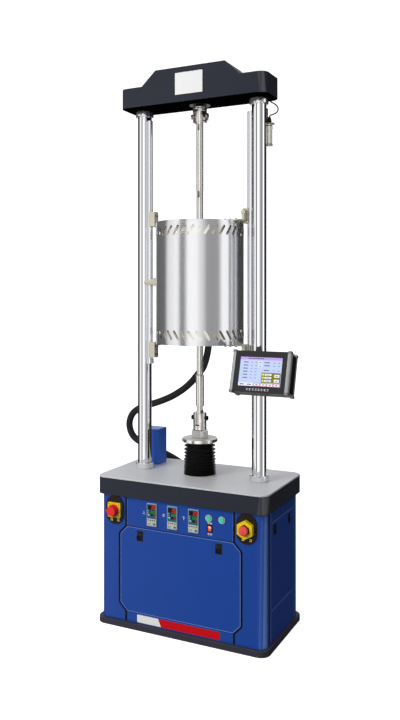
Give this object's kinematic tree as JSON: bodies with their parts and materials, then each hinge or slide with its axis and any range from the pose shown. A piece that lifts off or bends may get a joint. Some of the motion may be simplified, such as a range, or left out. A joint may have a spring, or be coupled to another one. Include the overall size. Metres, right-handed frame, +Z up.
{
  "type": "creep testing machine",
  "caption": "Two-column creep testing machine with a split tube furnace round its load train, a bellows-covered screw drive, a cabinet with instruments, and an operator panel",
  "frame": {"origin": "centre of the plinth's underside, on the floor", "axes": "+Z up, -Y the front with the instruments and the door, +X the side of the operator panel"},
  "size_m": [0.9839, 0.5088, 2.37],
  "materials": {
    "blue_paint": "glossy blue paint",
    "dark_paint": "dark grey-blue paint",
    "brushed_steel": "fine brushed top plate",
    "chrome": "hard-chromed and ground",
    "polished_steel": "polished stainless sheet",
    "machined_steel": "turned and milled steel",
    "black_oxide": "blackened steel",
    "ceramic": "ceramic fibre, light",
    "cream_paint": "cream paint",
    "black_rubber": "smooth black rubber",
    "black_plastic": "black moulded",
    "red_plastic": "red moulded",
    "green_plastic": "green moulded",
    "grey_plastic": "grey moulded",
    "zinc": "yellow zinc plated"
  },
  "bodies": {
    "root": {"plinth": "dark_paint", "cabinet_shell": "blue_paint", "control_panel": "blue_paint", "table": "dark_paint", "table_top_plate": "brushed_steel", "column_left": "chrome", "column_right": "chrome", "crosshead": "dark_paint", "load_cell": "machined_steel", "upper_clevis": "machined_steel", "upper_clevis_pin": "machined_steel", "guide_rod_left": "chrome", "guide_rod_right": "chrome", "junction_box": "blue_paint", "position_sensor": "zinc", "sensor_cable": "black_rubber", "furnace_hose": "black_rubber", "main_switch_base": "black_plastic", "emergency_stop_base": "black_plastic", "temperature_controller_left": "grey_plastic", "temperature_controller_middle": "grey_plastic", "temperature_controller_right": "grey_plastic", "bearing_housing": "dark_paint", "servo_gearmotor": "black_plastic", "timing_belt": "black_rubber", "bellows": "black_rubber"},
    "actuator": {"actuator_tube": "chrome", "ball_nut": "machined_steel", "actuator_flange": "machined_steel", "lower_clevis": "machined_steel", "lower_clevis_pin": "black_oxide", "lower_pull_rod": "machined_steel"},
    "screw": {"ball_screw": "machined_steel"},
    "drive_pulley": {"motor_pulley": "machined_steel"},
    "upper_rod": {"upper_pull_rod": "machined_steel"},
    "furnace_rear": {"furnace_rear_shell": "polished_steel", "furnace_rear_lining": "ceramic", "furnace_terminal_box": "polished_steel", "furnace_top_bracket": "cream_paint", "furnace_bottom_bracket": "cream_paint", "thermocouple_strip": "machined_steel"},
    "furnace_front": {"furnace_front_shell": "polished_steel", "furnace_front_lining": "ceramic"},
    "furnace_handle": {"furnace_latch": "cream_paint"},
    "switch_knob": {"main_switch_knob": "red_plastic"},
    "stop_button": {"emergency_stop_button": "red_plastic"},
    "button_left": {"push_button_left": "green_plastic"},
    "button_right": {"push_button_right": "green_plastic"},
    "rocker": {"rocker_switch": "red_plastic"},
    "door": {"front_door": "blue_paint"},
    "door_latch_left": {"front_door_latch_left": "black_plastic"},
    "door_latch_right": {"front_door_latch_right": "black_plastic"},
    "left_panel": {"side_panel_left": "blue_paint"},
    "right_panel": {"side_panel_right": "blue_paint"},
    "left_panel_latch_front": {"side_latch_left_front": "black_plastic"},
    "left_panel_latch_rear": {"side_latch_left_rear": "black_plastic"},
    "right_panel_latch_front": {"side_latch_right_front": "black_plastic"},
    "right_panel_latch_rear": {"side_latch_right_rear": "black_plastic"},
    "clamp": {"panel_clamp": "dark_paint"},
    "panel": {"operator_panel": "black_plastic"}
  },
  "joints": [
    {"name": "actuator_slide", "type": "slide", "parent": "root", "child": "actuator", "axis": [0, 0, 1], "range_m": [-0.06, 0.08], "deforming": ["bellows"]},
    {"name": "screw_turn", "type": "hinge", "parent": "root", "child": "screw", "pos_m": [0, 0, 0.084], "axis": [0, 0, 1], "range_deg": [-2170, 2890]},
    {"name": "motor_pulley_turn", "type": "hinge", "parent": "root", "child": "drive_pulley", "pos_m": [0.185, 0, 0.084], "axis": [0, 0, 1], "range_deg": [-4340, 5780]},
    {"name": "upper_rod_swing", "type": "hinge", "parent": "root", "child": "upper_rod", "pos_m": [0, 0, 2.177], "axis": [1, 0, 0], "range_deg": [-1.2, 1.2]},
    {"name": "furnace_lift", "type": "slide", "parent": "root", "child": "furnace_rear", "axis": [0, 0, 1], "range_m": [0, 0.36], "deforming": ["furnace_hose"]},
    {"name": "furnace_front_swing", "type": "hinge", "parent": "furnace_rear", "child": "furnace_front", "pos_m": [0.2125, -0.016, 1.195], "axis": [0, 0, 1], "range_deg": [0, 90]},
    {"name": "furnace_latch_turn", "type": "hinge", "parent": "furnace_front", "child": "furnace_handle", "pos_m": [-0.18961, -0.05797, 1.4595], "axis": [0, 0, 1], "range_deg": [0, 90]},
    {"name": "main_switch_turn", "type": "hinge", "parent": "root", "child": "switch_knob", "pos_m": [-0.303, -0.2136, 0.489], "axis": [0, 1, 0], "range_deg": [0, 90]},
    {"name": "emergency_stop_press", "type": "slide", "parent": "root", "child": "stop_button", "axis": [0, 1, 0], "range_m": [0, 0.005]},
    {"name": "push_button_left_press", "type": "slide", "parent": "root", "child": "button_left", "axis": [0, 1, 0], "range_m": [0, 0.0025], "stiffness_N_per_m": 400, "springref_m": -0.0025},
    {"name": "push_button_right_press", "type": "slide", "parent": "root", "child": "button_right", "axis": [0, 1, 0], "range_m": [0, 0.0025], "stiffness_N_per_m": 400, "springref_m": -0.0025},
    {"name": "rocker_tip", "type": "hinge", "parent": "root", "child": "rocker", "pos_m": [0.143, -0.198, 0.468], "axis": [1, 0, 0], "range_deg": [-6, 6]},
    {"name": "front_door_hinge", "type": "hinge", "parent": "root", "child": "door", "pos_m": [0, -0.201, 0.0675], "axis": [1, 0, 0], "range_deg": [0, 85]},
    {"name": "front_door_latch_left_slide", "type": "slide", "parent": "door", "child": "door_latch_left", "axis": [0, 0, -1], "range_m": [0, 0.012], "stiffness_N_per_m": 200, "springref_m": -0.005},
    {"name": "front_door_latch_right_slide", "type": "slide", "parent": "door", "child": "door_latch_right", "axis": [0, 0, -1], "range_m": [0, 0.012], "stiffness_N_per_m": 200, "springref_m": -0.005},
    {"name": "side_panel_left_hinge", "type": "hinge", "parent": "root", "child": "left_panel", "pos_m": [-0.377, 0, 0.1535], "axis": [0, -1, 0], "range_deg": [0, 60]},
    {"name": "side_panel_right_hinge", "type": "hinge", "parent": "root", "child": "right_panel", "pos_m": [0.377, 0, 0.1535], "axis": [0, 1, 0], "range_deg": [0, 60]},
    {"name": "side_latch_left_front_slide", "type": "slide", "parent": "left_panel", "child": "left_panel_latch_front", "axis": [0, 0, -1], "range_m": [0, 0.012], "stiffness_N_per_m": 200, "springref_m": -0.005},
    {"name": "side_latch_left_rear_slide", "type": "slide", "parent": "left_panel", "child": "left_panel_latch_rear", "axis": [0, 0, -1], "range_m": [0, 0.012], "stiffness_N_per_m": 200, "springref_m": -0.005},
    {"name": "side_latch_right_front_slide", "type": "slide", "parent": "right_panel", "child": "right_panel_latch_front", "axis": [0, 0, -1], "range_m": [0, 0.012], "stiffness_N_per_m": 200, "springref_m": -0.005},
    {"name": "side_latch_right_rear_slide", "type": "slide", "parent": "right_panel", "child": "right_panel_latch_rear", "axis": [0, 0, -1], "range_m": [0, 0.012], "stiffness_N_per_m": 200, "springref_m": -0.005},
    {"name": "panel_swivel", "type": "hinge", "parent": "root", "child": "clamp", "pos_m": [0.275, 0, 1.078], "axis": [0, 0, 1], "range_deg": [-25, 60]},
    {"name": "panel_tilt", "type": "hinge", "parent": "clamp", "child": "panel", "pos_m": [0.347, -0.078, 1.078], "axis": [1, 0, 0], "range_deg": [-10, 8]}
  ],
  "couplings": [
    {"joint": "screw_turn", "follows": "actuator_slide", "rad_per_m": 628.32},
    {"joint": "motor_pulley_turn", "follows": "actuator_slide", "rad_per_m": 1256.6}
  ]
}
